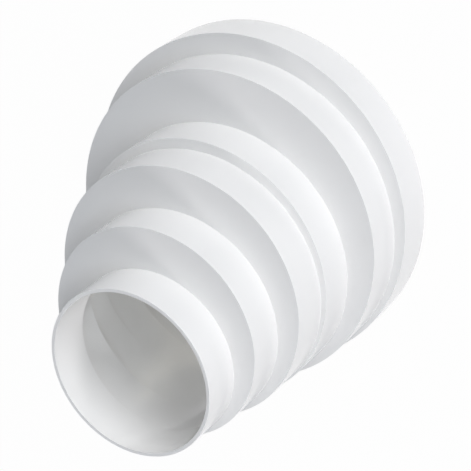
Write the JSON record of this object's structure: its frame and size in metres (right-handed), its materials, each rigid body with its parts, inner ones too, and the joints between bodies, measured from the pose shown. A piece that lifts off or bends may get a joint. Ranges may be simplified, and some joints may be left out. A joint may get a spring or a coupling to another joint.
{
  "type": "eccentric stepped duct reducer",
  "caption": "White plastic duct reducer: a stack of round spigots that grow in steps, all tangent to one straight side, joining round ducts of different bores.",
  "frame": {"origin": "centre of the large mouth's end face, where the part stands", "axes": "+Z along the duct towards the small mouth, +Y from the straight side towards the stepped side"},
  "size_m": [0.16, 0.16, 0.12],
  "materials": {
    "white_plastic": "satin white moulded plastic"
  },
  "bodies": {
    "root": {"duct_reducer": "white_plastic"}
  },
  "joints": []
}
